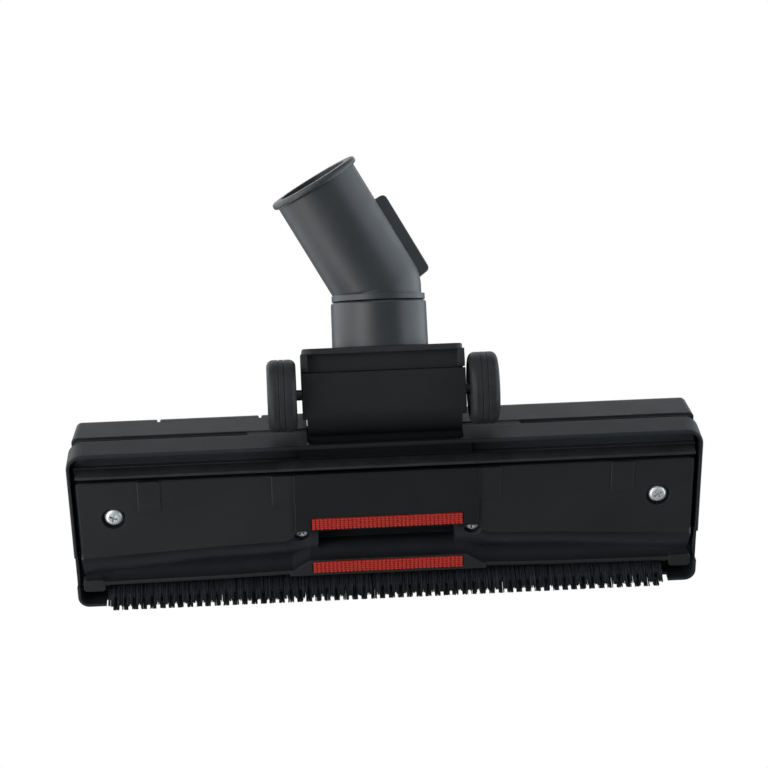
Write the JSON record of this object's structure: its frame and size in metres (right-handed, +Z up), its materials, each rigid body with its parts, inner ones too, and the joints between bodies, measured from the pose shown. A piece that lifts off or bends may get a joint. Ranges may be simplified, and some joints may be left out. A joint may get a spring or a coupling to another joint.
{
  "type": "vacuum cleaner floor head",
  "caption": "Wide flat vacuum floor head with a wheeled tilting neck, a swivelling bent tube socket, a foot pedal that lifts the front brush, lint strips and a rear rubber lip.",
  "frame": {"origin": "on the floor under the middle of the whole part's bounding box", "axes": "+Z up, +Y towards the front brush, +X to the right seen from behind the neck, along the head's width"},
  "size_m": [0.301, 0.201, 0.0995],
  "materials": {
    "cover_plastic": "satin moulded charcoal plastic",
    "sole_plastic": "satin moulded black plastic",
    "pedal_plastic": "satin moulded charcoal plastic",
    "neck_plastic": "satin moulded black plastic",
    "collar_plastic": "half gloss black plastic",
    "elbow_plastic": "half gloss black plastic",
    "inner_plastic": "plain moulded black plastic",
    "lip_rubber": "soft black rubber",
    "wheel_rubber": "dark grey soft tyre with fine ring lines",
    "lint_velvet": "red one-way velvet",
    "bristle_nylon": "black nylon bristle tufts",
    "zinc_steel": "bright zinc plate",
    "pin_steel": "plain drawn steel",
    "axle_steel": "blackened steel",
    "spring_steel": "spring wire"
  },
  "bodies": {
    "head": {"top_cover": "cover_plastic", "sole_plate": "sole_plastic", "rear_rubber_lip": "lip_rubber", "lint_strip_rear": "lint_velvet", "lint_strip_front": "lint_velvet", "end_screws": "zinc_steel", "inner_screws": "zinc_steel", "pedal_pin": "pin_steel", "lever_pin": "pin_steel", "return_spring_left": "spring_steel", "return_spring_right": "spring_steel"},
    "neck": {"neck_upper_shell": "neck_plastic", "neck_lower_shell": "neck_plastic", "wheel_axle": "axle_steel", "swivel_collar": "collar_plastic"},
    "elbow_body": {"elbow": "elbow_plastic", "retaining_ring": "inner_plastic"},
    "left_wheel": {"wheel_hub_left": "inner_plastic", "wheel_tyre_left": "wheel_rubber"},
    "right_wheel": {"wheel_hub_right": "inner_plastic", "wheel_tyre_right": "wheel_rubber"},
    "pedal": {"foot_pedal": "pedal_plastic"},
    "lever": {"lift_lever": "inner_plastic"},
    "brush": {"brush_bar": "inner_plastic", "front_bristles": "bristle_nylon"}
  },
  "joints": [
    {"name": "neck_tilt", "type": "hinge", "parent": "head", "child": "neck", "pos_m": [0, 0.02051, 0.025], "axis": [-1, 0, 0], "range_deg": [-5, 52]},
    {"name": "elbow_swivel", "type": "hinge", "parent": "neck", "child": "elbow_body", "pos_m": [0, -0.03925, 0.0595], "axis": [0, -0.866, 0.5], "continuous": true},
    {"name": "left_wheel_spin", "type": "hinge", "parent": "neck", "child": "left_wheel", "pos_m": [-0.0478, -0.00589, 0.017], "axis": [1, 0, 0], "continuous": true},
    {"name": "right_wheel_spin", "type": "hinge", "parent": "neck", "child": "right_wheel", "pos_m": [0.0468, -0.00589, 0.017], "axis": [1, 0, 0], "continuous": true},
    {"name": "pedal_rock", "type": "hinge", "parent": "head", "child": "pedal", "pos_m": [-0.08285, 0.02001, 0.0324], "axis": [-1, 0, 0], "range_deg": [0, 9]},
    {"name": "lever_rock", "type": "hinge", "parent": "head", "child": "lever", "pos_m": [-0.083, 0.05251, 0.0254], "axis": [1, 0, 0], "range_deg": [0, 7.3]},
    {"name": "brush_lift", "type": "slide", "parent": "head", "child": "brush", "axis": [0, 0, 1], "range_m": [0, 0.005], "deforming": ["return_spring_left", "return_spring_right"]}
  ],
  "couplings": [
    {"joint": "lever_rock", "follows": "pedal_rock", "ratio": 0.8},
    {"joint": "brush_lift", "follows": "pedal_rock", "m_per_rad": 0.0312}
  ]
}
